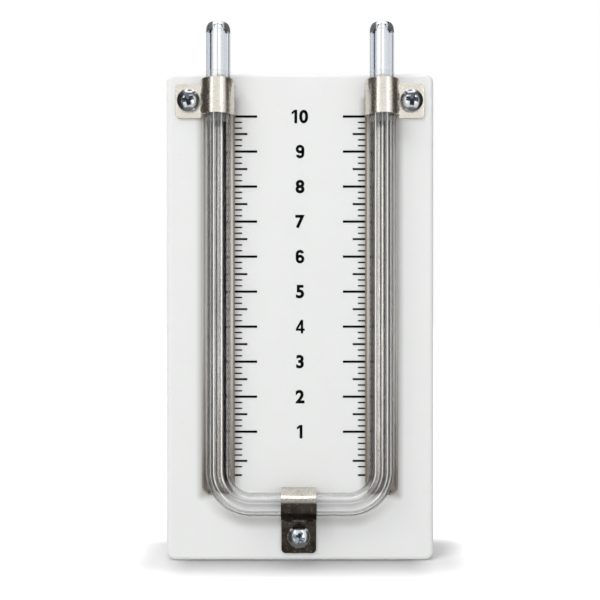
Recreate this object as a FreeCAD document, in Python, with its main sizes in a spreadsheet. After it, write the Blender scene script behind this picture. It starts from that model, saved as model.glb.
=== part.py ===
"""U tube manometer: a bent glass tube clipped to the front of a white scale board.

The board stands on its lower edge. +Z is up, the scale faces -Y and +X is to the right of someone
who reads it. The origin is on the floor, in the middle of the whole object's width and depth.
"""
import FreeCAD, Part
import math
import os
import Sketcher
from FreeCAD import Placement, Rotation, Vector

# Driving dimensions, in millimetres and degrees
SIZES = [
    ("board_width", 76.5),
    ("board_height", 139.3),
    ("board_thickness", 15),
    ("board_corner", 2.4),
    ("board_front_edge", 1.3),
    ("board_back_bevel", 0.5),
    ("tube_od", 6.8),
    ("tube_bore", 4.5),
    ("limb_spacing", 46),
    ("run_height", 16.95),
    ("bend_radius", 9.4),
    ("tube_projection", 12.7),
    ("rim_bevel", 0.8),
    ("seat_clearance", 0.02),
    ("sleeve_wall", 0.18),
    ("sleeve_length", 14.5),
    ("trough_shift", 0.3),
    ("trough_width", 9.4),
    ("trough_depth", 4),
    ("trough_corner", 2.4),
    ("trough_bevel", 1.3),
    ("trough_sheet", 0.5),
    ("trough_foot", 18.85),
    ("clip_sheet", 0.6),
    ("clip_length", 9.9),
    ("clip_fold", 0.4),
    ("clip_foot_gap", 0.1),
    ("ear_corner", 1.2),
    ("top_clip_height", 131.25),
    ("top_clip_play", 0.6),
    ("top_clip_lean", 25),
    ("top_head_gap", 0.1),
    ("top_ear_margin", 0.5),
    ("bottom_clip_offset", 0.35),
    ("bottom_clip_play", 0.4),
    ("bottom_clip_lean", 49),
    ("bottom_head_gap", 1.4),
    ("bottom_ear_margin", 1.7),
    ("screw_shank", 3.5),
    ("screw_length", 10),
    ("screw_head", 6.4),
    ("screw_head_side", 0.9),
    ("screw_head_height", 2.3),
    ("screw_hole_play", 0.3),
    ("cross_slot", 0.9),
    ("cross_span", 3.4),
    ("cross_depth", 1.3),
    ("left_screw_turn", 8),
    ("right_screw_turn", -6),
    ("bottom_screw_turn", -13),
    ("scale_one", 36.9),
    ("scale_unit", 10),
    ("scale_units", 9),
    ("unit_steps", 6),
    ("tail_medium_step", 5),
    ("tail_length", 12.4),
    ("ink_thickness", 0.05),
    ("major_length", 6.3),
    ("medium_length", 3.5),
    ("short_length", 2),
    ("major_line", 0.55),
    ("medium_line", 0.47),
    ("short_line", 0.3),
    ("tail_line", 0.42),
]

# Sizes and places that follow from them, as formulas of the sheet
LAYOUT = [
    ("tube_radius", "tube_od / 2"),
    ("bore_radius", "tube_bore / 2"),
    ("limb_x", "limb_spacing / 2"),
    ("limb_top", "board_height + tube_projection"),
    ("sleeve_bore", "tube_radius + seat_clearance"),
    ("sleeve_radius", "sleeve_bore + sleeve_wall"),
    ("axis_rise", "sleeve_radius + seat_clearance"),
    ("trough_x", "limb_x + trough_shift"),
    ("trough_length", "top_clip_height - trough_foot"),
    ("hollow_width", "trough_width - 2 * trough_sheet"),
    ("hollow_length", "trough_length - 2 * trough_sheet"),
    ("hollow_corner", "trough_corner - trough_sheet"),
    ("hollow_depth", "trough_depth - trough_sheet"),
    ("bed_width", "trough_width + 2 * seat_clearance"),
    ("bed_length", "trough_length + 2 * seat_clearance"),
    ("bed_corner", "trough_corner + seat_clearance"),
    ("top_arch", "sleeve_radius + top_clip_play"),
    ("top_arch_outer", "top_arch + clip_sheet"),
    ("top_offset", "(top_clip_play - seat_clearance) * sin(top_clip_lean * 1deg)"),
    ("top_crown", "axis_rise - (top_clip_play - seat_clearance) * cos(top_clip_lean * 1deg)"),
    ("top_clip_x", "limb_x + top_offset"),
    ("top_screw_reach", "top_arch_outer + clip_fold + top_head_gap + screw_head / 2"),
    ("top_ear_tip", "top_screw_reach + screw_head / 2 + top_ear_margin"),
    ("top_screw_x", "top_clip_x + top_screw_reach"),
    ("bottom_arch", "tube_radius + bottom_clip_play"),
    ("bottom_arch_outer", "bottom_arch + clip_sheet"),
    ("bottom_offset", "(bottom_clip_play - seat_clearance) * sin(bottom_clip_lean * 1deg)"),
    ("bottom_crown", "axis_rise - (bottom_clip_play - seat_clearance) * cos(bottom_clip_lean * 1deg)"),
    ("bottom_clip_z", "run_height - bottom_offset"),
    ("bottom_screw_reach", "bottom_arch_outer + clip_fold + bottom_head_gap + screw_head / 2"),
    ("bottom_ear_tip", "bottom_screw_reach + screw_head / 2 + bottom_ear_margin"),
    ("bottom_screw_z", "bottom_clip_z - bottom_screw_reach"),
    ("ear_hole", "screw_shank / 2 + screw_hole_play"),
    ("shank_radius", "screw_shank / 2"),
    ("head_radius", "screw_head / 2"),
    ("pilot_radius", "shank_radius + seat_clearance"),
    ("pilot_depth", "screw_length - clip_sheet + seat_clearance"),
    ("face_y", "(top_crown + top_arch_outer - board_thickness) / 2"),
]

doc = FreeCAD.newDocument("u_tube_manometer")
sheet = doc.addObject("Spreadsheet::Sheet", "Sizes")
for row, (alias, content) in enumerate(SIZES + LAYOUT, start=1):
    sheet.set("A%d" % row, alias)
    sheet.set("B%d" % row, "=" + content if isinstance(content, str) else str(content))
    sheet.setAlias("B%d" % row, alias)
doc.recompute()


def size(alias):
    """Value of one cell as a plain number."""
    value = getattr(sheet, alias)
    return float(getattr(value, "Value", value))


def bind(feature, **formulas):
    """Tie properties of a feature to the sheet and bring it up to date."""
    for name, formula in formulas.items():
        feature.setExpression(name, formula)
    doc.recompute()
    return feature


def place(part, x="0", y="Sizes.face_y", z="0", turn=Rotation()):
    """Put a sub-part's own origin at a place given by formulas."""
    part.Placement = Placement(Vector(0, 0, 0), turn)
    for axis, formula in (("x", x), ("y", y), ("z", z)):
        part.setExpression(".Placement.Base." + axis, formula)
    doc.recompute()
    return part


def new_body(label):
    """An empty body named after its sub-part."""
    body = doc.addObject("PartDesign::Body", label)
    body.Label = label
    return body


def new_sketch(body, role, name, **offsets):
    """A sketch on a plane of the body, moved by formulas along its own x, y and z."""
    sketch = body.newObject("Sketcher::SketchObject", name)
    plane = [item for item in body.Origin.OriginFeatures if item.Role == role][0]
    sketch.AttachmentSupport = (plane, [""])
    sketch.MapMode = "FlatFace"
    for axis, formula in offsets.items():
        sketch.setExpression(".AttachmentOffset.Base." + axis, formula)
    return sketch


def line(sketch, start, end):
    """Add a straight line between two points given as pairs."""
    return sketch.addGeometry(Part.LineSegment(Vector(*start, 0), Vector(*end, 0)), False)


def arc(sketch, middle, radius, first, last):
    """Add an arc, counterclockwise between two angles in degrees."""
    circle = Part.Circle(Vector(*middle, 0), Vector(0, 0, 1), radius)
    return sketch.addGeometry(Part.ArcOfCircle(circle, math.radians(first), math.radians(last)), False)


def constrain(sketch, kind, *where):
    """Add a geometric constraint."""
    sketch.addConstraint(Sketcher.Constraint(kind, *where))


def dimension(sketch, alias, kind, *where):
    """Add a dimension that takes its value from a cell."""
    index = sketch.addConstraint(Sketcher.Constraint(kind, *where, size(alias)))
    sketch.setExpression("Constraints[%d]" % index, "Sizes." + alias)


ORIGIN = (-1, 1)
ACROSS = -1
UP = -2


def draw_circle(sketch, radius):
    """A circle round the sketch's origin."""
    circle = sketch.addGeometry(Part.Circle(Vector(0, 0, 0), Vector(0, 0, 1), size(radius)), False)
    constrain(sketch, "Coincident", circle, 3, *ORIGIN)
    dimension(sketch, radius, "Radius", circle)


def draw_rectangle(sketch, width, height):
    """A rectangle with its middle on the sketch's origin."""
    x, y = size(width) / 2, size(height) / 2
    corners = [(-x, -y), (x, -y), (x, y), (-x, y)]
    for step in range(4):
        line(sketch, corners[step], corners[(step + 1) % 4])
    for step in range(4):
        constrain(sketch, "Coincident", step, 2, (step + 1) % 4, 1)
        constrain(sketch, "Horizontal" if step % 2 == 0 else "Vertical", step)
    constrain(sketch, "Symmetric", 0, 1, 2, 1, *ORIGIN)
    dimension(sketch, width, "DistanceX", 0, 1, 0, 2)
    dimension(sketch, height, "DistanceY", 1, 1, 1, 2)


def draw_rounded_rectangle(sketch, width, height, corner):
    """A rectangle with round corners that stands on the middle of the sketch's horizontal axis."""
    x, y, r = size(width) / 2, size(height), size(corner)
    line(sketch, (r - x, 0), (x - r, 0))
    line(sketch, (x, r), (x, y - r))
    line(sketch, (x - r, y), (r - x, y))
    line(sketch, (-x, y - r), (-x, r))
    middles = [(x - r, r), (x - r, y - r), (r - x, y - r), (r - x, r)]
    for step, middle in enumerate(middles):
        turn = arc(sketch, middle, r, 90 * step - 90, 90 * step)
        constrain(sketch, "Tangent", step, 2, turn, 1)
        constrain(sketch, "Tangent", turn, 2, (step + 1) % 4, 1)
        if step > 0:
            constrain(sketch, "Equal", turn, 4)
    constrain(sketch, "Symmetric", 0, 1, 0, 2, UP)
    constrain(sketch, "PointOnObject", 0, 1, ACROSS)
    constrain(sketch, "Vertical", 1)
    constrain(sketch, "Horizontal", 2)
    constrain(sketch, "Vertical", 3)
    dimension(sketch, corner, "Radius", 4)
    dimension(sketch, width, "DistanceX", 3, 1, 1, 1)
    dimension(sketch, height, "DistanceY", 0, 1, 2, 1)


def pad(body, sketch, length, **settings):
    """Grow a sketch into a solid by the length in a cell."""
    feature = body.newObject("PartDesign::Pad", sketch.Name + "_pad")
    feature.Profile = sketch
    for name, value in settings.items():
        setattr(feature, name, value)
    return bind(feature, Length="Sizes." + length)


def pocket(body, sketch, depth=None, **settings):
    """Cut a sketch into the solid, to the depth in a cell or right through."""
    feature = body.newObject("PartDesign::Pocket", sketch.Name + "_pocket")
    feature.Profile = sketch
    for name, value in settings.items():
        setattr(feature, name, value)
    if depth is None:
        feature.Type = "ThroughAll"
        return bind(feature)
    return bind(feature, Length="Sizes." + depth)


def edges_of(base, chosen):
    """The edges of a feature for which chosen(edge) holds, as a link to them."""
    return base, ["Edge%d" % number for number, edge in enumerate(base.Shape.Edges, start=1) if chosen(edge)]


def fillet(body, base, radius, chosen):
    """Round the chosen edges of a feature."""
    feature = body.newObject("PartDesign::Fillet", radius + "_fillet")
    feature.Base = edges_of(base, chosen)
    return bind(feature, Radius="Sizes." + radius)


def bevel(body, base, width, chosen):
    """Cut the chosen edges of a feature off at 45 degrees."""
    feature = body.newObject("PartDesign::Chamfer", width + "_chamfer")
    feature.Base = edges_of(base, chosen)
    return bind(feature, Size="Sizes." + width)


def lies_at(axis, place):
    """Test that picks the edges whose middle has this coordinate."""
    return lambda edge: abs(getattr(edge.CenterOfMass, axis) - place) < 0.001


def make_board():
    """The white board, with a bed for each trough and pilot holes for the three screws."""
    body = new_body("backboard")
    outline = new_sketch(body, "XZ_Plane", "board_outline")
    draw_rounded_rectangle(outline, "board_width", "board_height", "board_corner")
    slab = pad(body, outline, "board_thickness", Reversed=True)
    softened = fillet(body, slab, "board_front_edge", lies_at("y", 0))
    bevel(body, softened, "board_back_bevel", lies_at("y", size("board_thickness")))
    for side, sign in (("left", "-"), ("right", "")):
        bed = new_sketch(body, "XZ_Plane", side + "_bed", x=sign + "Sizes.trough_x",
                         y="Sizes.trough_foot - Sizes.seat_clearance")
        draw_rounded_rectangle(bed, "bed_width", "bed_length", "bed_corner")
        pocket(body, bed, "trough_depth")
    pilots = (("left", "-Sizes.top_screw_x", "Sizes.top_clip_height"),
              ("right", "Sizes.top_screw_x", "Sizes.top_clip_height"),
              ("bottom", "-Sizes.bottom_clip_offset", "Sizes.bottom_screw_z"))
    for name, x, z in pilots:
        hole = new_sketch(body, "XZ_Plane", name + "_pilot", x=x, y=z)
        draw_circle(hole, "pilot_radius")
        pocket(body, hole, "pilot_depth")
    return place(body)


def make_tube():
    """The glass: two limbs, two bends and the run between them, one pipe with softened rims."""
    body = new_body("glass_u_tube")
    spine = new_sketch(body, "XZ_Plane", "tube_centre_line")
    x, top, low, turn = size("limb_x"), size("limb_top"), size("run_height"), size("bend_radius")
    line(spine, (-x, top), (-x, low + turn))
    arc(spine, (turn - x, low + turn), turn, 180, 270)
    line(spine, (turn - x, low), (x - turn, low))
    arc(spine, (x - turn, low + turn), turn, 270, 360)
    line(spine, (x, low + turn), (x, top))
    for step in range(4):
        constrain(spine, "Tangent", step, 2, step + 1, 1)
    constrain(spine, "Vertical", 0)
    constrain(spine, "Horizontal", 2)
    constrain(spine, "Vertical", 4)
    constrain(spine, "Equal", 1, 3)
    constrain(spine, "Symmetric", 0, 1, 4, 2, UP)
    dimension(spine, "bend_radius", "Radius", 1)
    dimension(spine, "limb_spacing", "DistanceX", 0, 1, 4, 2)
    dimension(spine, "run_height", "DistanceY", *ORIGIN, 2, 1)
    dimension(spine, "limb_top", "DistanceY", *ORIGIN, 0, 1)
    section = new_sketch(body, "XY_Plane", "tube_section", x="-Sizes.limb_x", z="Sizes.limb_top")
    draw_circle(section, "tube_radius")
    draw_circle(section, "bore_radius")
    doc.recompute()
    pipe = body.newObject("PartDesign::AdditivePipe", "bent_pipe")
    pipe.Profile = section
    pipe.Spine = (spine, ["Edge%d" % number for number in range(1, 6)])
    doc.recompute()
    at_top = lies_at("z", top)
    outer = size("tube_radius")
    bevel(body, pipe, "rim_bevel", lambda edge: at_top(edge) and abs(edge.Curve.Radius - outer) < 0.001)
    return place(body, y="Sizes.face_y - Sizes.axis_rise")


def make_sleeve(label, sign):
    """The thin clear sleeve between a limb and its clip."""
    body = new_body(label)
    ring = new_sketch(body, "XY_Plane", label + "_ring")
    draw_circle(ring, "sleeve_radius")
    draw_circle(ring, "sleeve_bore")
    pad(body, ring, "sleeve_length", SideType="Symmetric")
    return place(body, sign + "Sizes.limb_x", "Sizes.face_y - Sizes.axis_rise", "Sizes.top_clip_height")


def make_trough(label, sign):
    """A pressed metal trough behind a limb, let into the board with its rim flush."""
    body = new_body(label)
    outline = new_sketch(body, "XZ_Plane", label + "_outline")
    draw_rounded_rectangle(outline, "trough_width", "trough_length", "trough_corner")
    pad(body, outline, "trough_depth", Reversed=True)
    inside = new_sketch(body, "XZ_Plane", label + "_hollow", y="Sizes.trough_sheet")
    draw_rounded_rectangle(inside, "hollow_width", "hollow_length", "hollow_corner")
    hollow = pocket(body, inside, "hollow_depth")
    bevel(body, hollow, "trough_bevel", lies_at("y", size("hollow_depth")))
    return place(body, sign + "Sizes.trough_x", z="Sizes.trough_foot")


def draw_clip_profile(sketch, arch, arch_outer, crown, ear_tip):
    """Section of a one-eared clip: a free leg, an arch over the tube, a leg, a fold and the ear."""
    inner, outer, rise, tip = size(arch), size(arch_outer), size(crown), size(ear_tip)
    sheet_thickness, fold, foot = size("clip_sheet"), size("clip_fold"), size("clip_foot_gap")
    bend = (outer + fold, sheet_thickness + fold)
    free_leg_outside = line(sketch, (-outer, foot), (-outer, rise))
    arch_outside = arc(sketch, (0, rise), outer, 0, 180)
    leg_outside = line(sketch, (outer, rise), (outer, bend[1]))
    fold_inside = arc(sketch, bend, fold, 180, 270)
    ear_front = line(sketch, (bend[0], sheet_thickness), (tip, sheet_thickness))
    ear_end = line(sketch, (tip, sheet_thickness), (tip, 0))
    ear_back = line(sketch, (tip, 0), (bend[0], 0))
    fold_outside = arc(sketch, bend, fold + sheet_thickness, 180, 270)
    leg_inside = line(sketch, (inner, bend[1]), (inner, rise))
    arch_inside = arc(sketch, (0, rise), inner, 0, 180)
    free_leg_inside = line(sketch, (-inner, rise), (-inner, foot))
    foot_edge = line(sketch, (-inner, foot), (-outer, foot))
    constrain(sketch, "Tangent", free_leg_outside, 2, arch_outside, 2)
    constrain(sketch, "Tangent", arch_outside, 1, leg_outside, 1)
    constrain(sketch, "Tangent", leg_outside, 2, fold_inside, 1)
    constrain(sketch, "Tangent", fold_inside, 2, ear_front, 1)
    constrain(sketch, "Coincident", ear_front, 2, ear_end, 1)
    constrain(sketch, "Coincident", ear_end, 2, ear_back, 1)
    constrain(sketch, "Tangent", ear_back, 2, fold_outside, 2)
    constrain(sketch, "Tangent", fold_outside, 1, leg_inside, 1)
    constrain(sketch, "Tangent", leg_inside, 2, arch_inside, 1)
    constrain(sketch, "Tangent", arch_inside, 2, free_leg_inside, 1)
    constrain(sketch, "Coincident", free_leg_inside, 2, foot_edge, 1)
    constrain(sketch, "Coincident", foot_edge, 2, free_leg_outside, 1)
    for upright in (free_leg_outside, leg_outside, ear_end, leg_inside, free_leg_inside):
        constrain(sketch, "Vertical", upright)
    for level in (ear_front, ear_back, foot_edge):
        constrain(sketch, "Horizontal", level)
    constrain(sketch, "Coincident", arch_inside, 3, arch_outside, 3)
    constrain(sketch, "Coincident", fold_inside, 3, fold_outside, 3)
    constrain(sketch, "PointOnObject", arch_outside, 3, UP)
    constrain(sketch, "PointOnObject", ear_back, 1, ACROSS)
    dimension(sketch, arch, "Radius", arch_inside)
    dimension(sketch, arch_outer, "Radius", arch_outside)
    dimension(sketch, "clip_fold", "Radius", fold_inside)
    dimension(sketch, crown, "DistanceY", *ORIGIN, arch_outside, 3)
    dimension(sketch, "clip_foot_gap", "DistanceY", *ORIGIN, foot_edge, 2)
    dimension(sketch, ear_tip, "DistanceX", *ORIGIN, ear_end, 2)


def make_clip(label, kind, outward, x, z):
    """A sheet metal clip whose ear points outward, screwed to the board through one hole."""
    body = new_body(label)
    profile = new_sketch(body, "XZ_Plane", label + "_profile")
    draw_clip_profile(profile, kind + "_arch", kind + "_arch_outer", kind + "_crown", kind + "_ear_tip")
    strip = pad(body, profile, "clip_length", SideType="Symmetric")
    at_tip = lies_at("x", size(kind + "_ear_tip"))
    half = size("clip_length") / 2
    cut = fillet(body, strip, "ear_corner",
                 lambda edge: at_tip(edge) and abs(abs(edge.CenterOfMass.y) - half) < 0.001)
    hole = new_sketch(body, "XY_Plane", label + "_hole", x="Sizes." + kind + "_screw_reach")
    draw_circle(hole, "ear_hole")
    pocket(body, hole, Reversed=True)
    off_board = Vector(0, -1, 0)
    turn = Rotation(outward, off_board.cross(outward), off_board, "XZY")
    return place(body, x, z=z, turn=turn)


def make_screw(name, x, z, turn):
    """A pan head screw with a cross recess, its head seated on a clip's ear."""
    body = doc.addObject("PartDesign::Body", name)
    half = new_sketch(body, "XZ_Plane", name + "_half_section")
    shank, head = size("shank_radius"), size("head_radius")
    long = size("screw_length")
    side, high = size("screw_head_side"), size("screw_head_height")
    dome = (head ** 2 + (high - side) ** 2) / (2 * (high - side))
    edge_angle = math.degrees(math.acos(head / dome))
    shank_end = line(half, (0, -long), (shank, -long))
    shank_side = line(half, (shank, -long), (shank, 0))
    seat = line(half, (shank, 0), (head, 0))
    head_side = line(half, (head, 0), (head, side))
    crown = arc(half, (0, high - dome), dome, edge_angle, 90)
    core = line(half, (0, high), (0, -long))
    for step in range(6):
        constrain(half, "Coincident", step, 2, (step + 1) % 6, 1)
    for upright in (shank_side, head_side, core):
        constrain(half, "Vertical", upright)
    constrain(half, "Horizontal", shank_end)
    constrain(half, "Horizontal", seat)
    constrain(half, "PointOnObject", core, 1, UP)
    constrain(half, "PointOnObject", crown, 3, UP)
    constrain(half, "PointOnObject", seat, 1, ACROSS)
    dimension(half, "shank_radius", "DistanceX", *ORIGIN, seat, 1)
    dimension(half, "head_radius", "DistanceX", *ORIGIN, head_side, 1)
    dimension(half, "screw_length", "DistanceY", shank_side, 1, *ORIGIN)
    dimension(half, "screw_head_side", "DistanceY", *ORIGIN, head_side, 2)
    dimension(half, "screw_head_height", "DistanceY", *ORIGIN, crown, 2)
    turned = body.newObject("PartDesign::Revolution", name + "_turned")
    turned.Profile = half
    turned.ReferenceAxis = (half, ["V_Axis"])
    turned.Angle = 360
    doc.recompute()
    slot = new_sketch(body, "XY_Plane", name + "_slot", z="Sizes.screw_head_height")
    draw_rectangle(slot, "cross_span", "cross_slot")
    first = pocket(body, slot, "cross_depth")
    cross = body.newObject("PartDesign::PolarPattern", name + "_cross")
    cross.Originals = [first]
    cross.Axis = (slot, ["N_Axis"])
    cross.Angle = 90
    cross.Occurrences = 2
    body.Tip = cross
    to_front = Rotation(Vector(1, 0, 0), 90) * Rotation(Vector(0, 0, 1), size(turn))
    return place(body, x, "Sizes.face_y - Sizes.clip_sheet", z, to_front)


def make_screws():
    """The three screws that hold the clips, as one group of separate solids."""
    screws = doc.addObject("Part::Compound", "clip_screws")
    screws.Links = [
        make_screw("left_screw", "-Sizes.top_screw_x", "Sizes.top_clip_height", "left_screw_turn"),
        make_screw("right_screw", "Sizes.top_screw_x", "Sizes.top_clip_height", "right_screw_turn"),
        make_screw("bottom_screw", "-Sizes.bottom_clip_offset", "Sizes.bottom_screw_z", "bottom_screw_turn"),
    ]
    screws.Label = "clip_screws"
    doc.recompute()
    return screws


def scale_marks():
    """Height, kind and line width of each printed mark, from the lowest to the highest."""
    steps, one = int(size("unit_steps")), size("scale_one")
    pitch = size("scale_unit") / steps
    marks = [(one - size("tail_length"), "short", "tail_line")]
    for count in range(-steps, int(size("scale_units")) * steps + 1):
        if count < 0:
            kind = "medium" if -count == size("tail_medium_step") else "short"
        elif count % steps == 0:
            kind = "major"
        else:
            kind = "medium" if 2 * (count % steps) == steps else "short"
        marks.append((one + count * pitch, kind, kind + "_line"))
    return marks


def make_graduations():
    """The printed marks: two mirrored ladders of flat lines that end at the beds of the troughs."""
    outer_end = size("trough_x") - size("bed_width") / 2
    ink = size("ink_thickness")
    lines = []
    for height, kind, width in scale_marks():
        length, wide = size(kind + "_length"), size(width)
        for start in (-outer_end, outer_end - length):
            lines.append(Part.makeBox(length, ink, wide, Vector(start, -ink, height - wide / 2)))
    ladders = doc.addObject("Part::Feature", "scale_graduations")
    ladders.Shape = Part.makeCompound(lines)
    ladders.Label = "scale_graduations"
    return place(ladders)


SIDES = (("left", "-", Vector(-1, 0, 0)), ("right", "", Vector(1, 0, 0)))
sub_parts = [make_board(), make_tube()]
for side, sign, outward in SIDES:
    sub_parts.append(make_trough(side + "_backing_trough", sign))
    sub_parts.append(make_sleeve(side + "_clip_sleeve", sign))
    sub_parts.append(make_clip(side + "_tube_clip", "top", outward,
                               sign + "Sizes.top_clip_x", "Sizes.top_clip_height"))
sub_parts.append(make_clip("bottom_tube_clip", "bottom", Vector(0, 0, -1),
                           "-Sizes.bottom_clip_offset", "Sizes.bottom_clip_z"))
sub_parts.append(make_screws())
sub_parts.append(make_graduations())
doc.recompute()

# Nothing is written unless every object and every sub-part's shape is sound
for item in doc.Objects:
    if "Invalid" in item.State or "Error" in item.State:
        raise RuntimeError("%s failed: %s" % (item.Name, item.State))
for part in sub_parts:
    if part.Shape.isNull() or not part.Shape.isValid():
        raise RuntimeError("%s has no valid shape" % part.Label)

os.makedirs("parts", exist_ok=True)
for part in sub_parts:
    part.Shape.exportStep("parts/%s.step" % part.Label)
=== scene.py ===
"""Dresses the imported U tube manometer: glass, sleeves, troughs, clips, screws, print, board and studio.

Lengths in the code are metres, as in Blender. The scale faces -Y, +Z is up and +X is to the reader's right.
"""
import math

import bmesh
import bpy
from bpy.props import FloatProperty, FloatVectorProperty, IntProperty, PointerProperty
from mathutils import Matrix, Vector


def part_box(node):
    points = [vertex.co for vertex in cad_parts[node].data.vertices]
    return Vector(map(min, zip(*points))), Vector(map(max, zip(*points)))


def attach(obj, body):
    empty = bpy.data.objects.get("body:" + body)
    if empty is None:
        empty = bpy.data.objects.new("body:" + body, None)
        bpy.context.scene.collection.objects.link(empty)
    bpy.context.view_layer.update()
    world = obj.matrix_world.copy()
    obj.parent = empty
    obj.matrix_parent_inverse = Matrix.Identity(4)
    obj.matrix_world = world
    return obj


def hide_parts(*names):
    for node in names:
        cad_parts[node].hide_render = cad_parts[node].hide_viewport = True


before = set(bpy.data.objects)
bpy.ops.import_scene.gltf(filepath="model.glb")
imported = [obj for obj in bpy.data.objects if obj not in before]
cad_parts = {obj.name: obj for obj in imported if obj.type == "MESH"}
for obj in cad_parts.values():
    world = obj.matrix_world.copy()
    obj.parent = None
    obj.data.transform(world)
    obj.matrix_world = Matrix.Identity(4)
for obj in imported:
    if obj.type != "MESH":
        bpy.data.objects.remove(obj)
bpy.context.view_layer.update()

bl_info = {
    "name": "U Tube Manometer",
    "version": (1, 0, 0),
    "blender": (4, 5, 0),
    "location": "3D View > Sidebar > Manometer",
    "description": "Models the fine pieces and finishes of a U tube manometer round its packed solids",
    "category": "Object",
}

MM = 0.001


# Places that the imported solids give

def middle(solid):
    """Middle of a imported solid's box."""
    low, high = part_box(solid)
    return (low + high) / 2


def extent(solid):
    """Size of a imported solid's box."""
    low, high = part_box(solid)
    return high - low


FACE_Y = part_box("backboard")[0].y
AXIS_Y = middle("left_clip_sleeve").y
LIMB_X = middle("right_clip_sleeve").x
LIMB_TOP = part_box("glass_u_tube")[1].z
TUBE_RADIUS = extent("glass_u_tube").y / 2
RUN_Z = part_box("glass_u_tube")[0].z + TUBE_RADIUS
RIM_ROUND = 2.2 * MM  # height of the outer rounding of the rims
UNIT = 10 * MM  # from one numbered line to the next
HALF_LINE = 0.275 * MM  # half the thickness of a numbered line
ONE_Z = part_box("scale_graduations")[1].z - 9 * UNIT - HALF_LINE
INK = 0.05 * MM  # thickness of the print
PRINT_Y = FACE_Y - INK / 2
FLAT = 1e-6  # how near to a plane a point counts as on it
CAMERA = (0, FACE_Y - 0.2285, 0.07165)


def length(name, description, default):
    """A length that a user can change."""
    return FloatProperty(name=name, description=description, default=default, unit="LENGTH",
                         subtype="DISTANCE")


def colour(name, description, default):
    """A colour that a user can change."""
    return FloatVectorProperty(name=name, description=description, default=default, subtype="COLOR",
                               size=3, min=0, max=1)


class ManometerSizes(bpy.types.PropertyGroup):
    """Sizes of the pieces that a user may want to change"""
    bore_radius: length("Bore radius", "Radius of the bore of the glass", 2.25 * MM)
    bend_radius: length("Bend radius", "Radius of the two bends at the centre of the tube", 9.4 * MM)
    rim_mouth: length("Rim mouth", "Radius of the mouth, where the fire polished rims draw in", 1.85 * MM)
    tube_sides: IntProperty(
        name="Tube sides", description="Faces round each glass wall", default=96, min=24, max=192)
    trough_sheet: length("Trough sheet", "Thickness of the metal of the troughs", 0.5 * MM)
    trough_corner: length("Trough corners", "Radius of the four corners of a trough", 2.4 * MM)
    trough_round: length("Trough rounding", "Rounding along the floor of a trough", 2.2 * MM)
    clip_sheet: length("Clip sheet", "Thickness of the metal of the clips", 0.6 * MM)
    clip_fold: length("Clip fold", "Inner radius of the fold between a clip's leg and its ear", 0.4 * MM)
    ear_corner: length("Ear corners", "Radius of the two corners of a clip's ear", 1.2 * MM)
    sheet_edge: length("Sheet edge", "Softness of the cut edges of the clips", 0.09 * MM)
    head_radius: length("Head radius", "Radius of the screw heads", 3.2 * MM)
    head_side: length("Head side", "Height of the straight side of the screw heads", 0.9 * MM)
    head_height: length("Head height", "Whole height of the screw heads", 2.3 * MM)
    ink_spread: length("Ink spread", "How far the printed ink runs out beyond each line's edge", 0.04 * MM)
    figure_height: length("Figure height", "Height of the printed numbers", 3.86 * MM)


class ManometerColours(bpy.types.PropertyGroup):
    """Colours of the finishes"""
    board: colour("Board", "White of the board", (0.80, 0.81, 0.80))
    ink: colour("Ink", "Black of the print", (0.0025, 0.0025, 0.003))
    trough: colour("Troughs", "Nickel of the troughs", (0.78, 0.76, 0.72))
    clip: colour("Clips", "Nickel of the clips", (0.80, 0.76, 0.69))
    clip_stain: colour("Clip stain", "Brown oxide on the clips", (0.17, 0.12, 0.08))
    screw: colour("Screws", "Zinc of the screws", (0.74, 0.79, 0.84))


# Modelling helpers, used as by hand: add a primitive, pick a part of it, shape it

def select_only(*pieces):
    """In object mode, select these pieces and nothing else. The first is the active one."""
    if bpy.context.mode != "OBJECT":
        bpy.ops.object.mode_set(mode="OBJECT")
    bpy.ops.object.select_all(action="DESELECT")
    for piece in pieces:
        piece.select_set(True)
    if pieces:
        bpy.context.view_layer.objects.active = pieces[0]


def name_piece(piece, name):
    """Give a piece and its mesh their name."""
    piece.name = name
    piece.data.name = name


def start(add, name, **settings):
    """Add a primitive with nothing else selected and open it in edit mode."""
    select_only()
    add(**settings)
    piece = bpy.context.object
    name_piece(piece, name)
    bpy.ops.object.mode_set(mode="EDIT")
    bpy.ops.mesh.select_mode(type="VERT")
    bpy.ops.mesh.select_all(action="SELECT")
    return piece


def copy_of(piece, name):
    """A twin of a piece, with a mesh of its own."""
    select_only()
    twin = piece.copy()
    twin.data = piece.data.copy()
    name_piece(twin, name)
    bpy.context.collection.objects.link(twin)
    return twin


def pick(kind, chosen):
    """In edit mode, select the edges or faces that pass a test, and nothing else."""
    bpy.ops.mesh.select_mode(type=kind)
    bpy.ops.mesh.select_all(action="DESELECT")
    mesh = bmesh.from_edit_mesh(bpy.context.object.data)
    for item in {"EDGE": mesh.edges, "FACE": mesh.faces}[kind]:
        if not item.hide and chosen(item):
            item.select_set(True)
    mesh.select_flush_mode()
    bmesh.update_edit_mesh(bpy.context.object.data)


def every(test):
    """A test that holds for an edge or face when all its vertices pass."""
    return lambda item: all(test(vertex.co + bpy.context.object.location) for vertex in item.verts)


def facing_down(axis):
    """A test for faces that look towards the low end of an axis: 0, 1 or 2 for X, Y or Z."""
    return lambda face: face.normal[axis] < -0.9


def extrude(x=0.0, z=0.0):
    """Pull the selection out by a step."""
    bpy.ops.mesh.extrude_region_move(TRANSFORM_OT_translate={"value": (x, 0, z)})


def spin(degrees, steps, centre, axis):
    """Turn the selection round a centre, which leaves a bend behind it."""
    bpy.ops.mesh.spin(steps=steps, angle=math.radians(degrees), center=Vector(centre), axis=Vector(axis))


def bevel(offset, segments):
    """Round the selected edges."""
    bpy.ops.mesh.bevel(offset=offset, offset_type="OFFSET", segments=segments, affect="EDGES",
                       clamp_overlap=True)


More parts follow.
